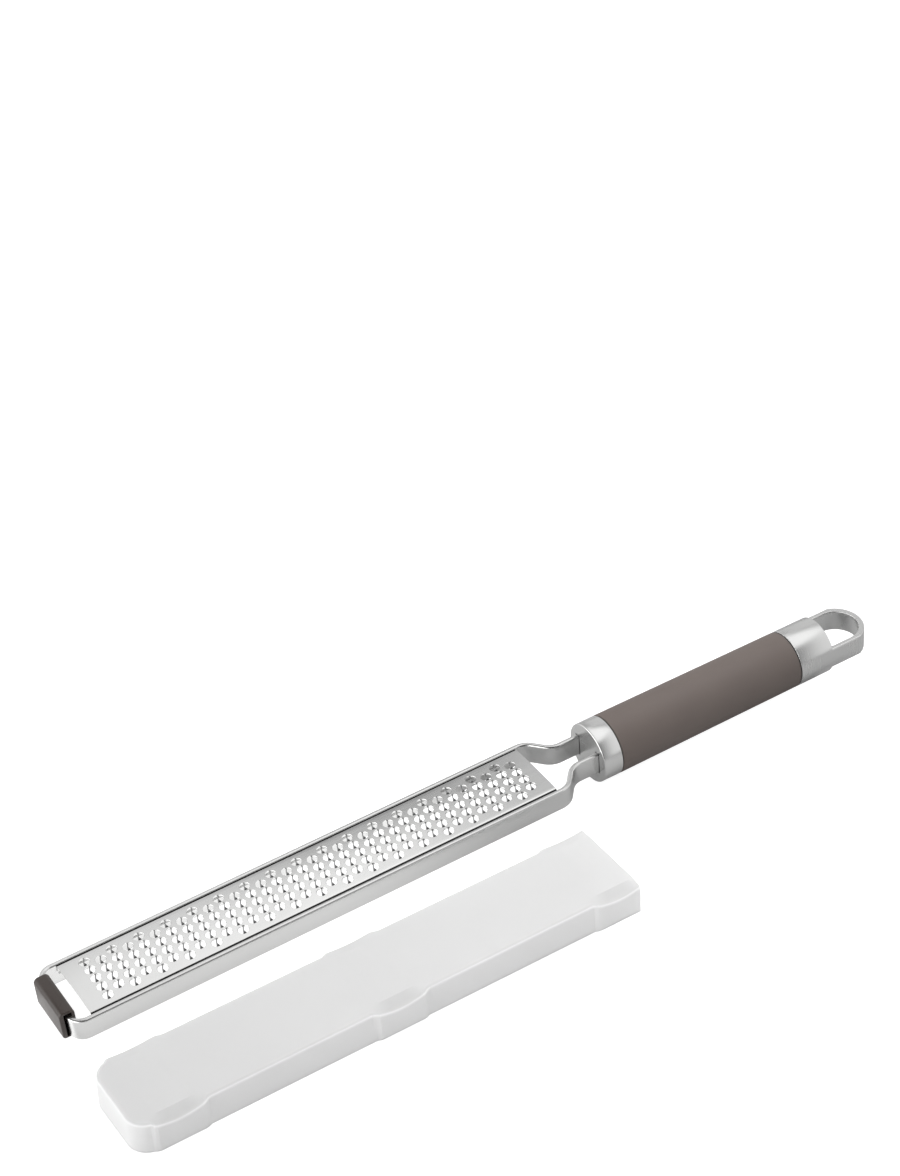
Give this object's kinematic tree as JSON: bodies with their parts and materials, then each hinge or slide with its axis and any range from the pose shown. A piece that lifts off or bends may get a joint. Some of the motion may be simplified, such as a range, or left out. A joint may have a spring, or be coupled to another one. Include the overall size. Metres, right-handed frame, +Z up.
{
  "type": "rasp zester",
  "caption": "Flat rasp zester in a bent bar frame on a round two-tone handle with a hang loop and a tip foot, its slide-on blade guard lying beside it.",
  "frame": {"origin": "middle of the tip foot's resting face, on the table", "axes": "+X along the zester from the tip towards the hang loop, +Y across it away from the blade guard, +Z up"},
  "size_m": [0.3949, 0.1006, 0.0295],
  "materials": {
    "frame_steel": "fine brushed",
    "plate_steel": "satin",
    "foot_rubber": "matt",
    "ferrule_steel": "polished face, brushed side",
    "cap_steel": "brushed",
    "seal_rubber": "matt",
    "grip_rubber": "soft matt",
    "core_plastic": "moulded",
    "fastener_steel": "turned",
    "guard_plastic": "milky translucent"
  },
  "bodies": {
    "zester": {"frame_bar": "frame_steel", "grater_plate": "plate_steel", "tip_foot": "foot_rubber", "front_ferrule": "ferrule_steel", "front_seal": "seal_rubber", "handle_core": "core_plastic", "grip_sleeve": "grip_rubber", "rear_seal": "seal_rubber", "tie_bolt": "fastener_steel", "bolt_washer": "fastener_steel", "tang_pins": "fastener_steel", "end_cap": "cap_steel"},
    "guard": {"blade_guard": "guard_plastic"}
  },
  "joints": [
    {"name": "guard_lift", "type": "slide", "parent": "zester", "child": "guard", "axis": [0, 0, 1], "range_m": [0, 0.06]}
  ]
}
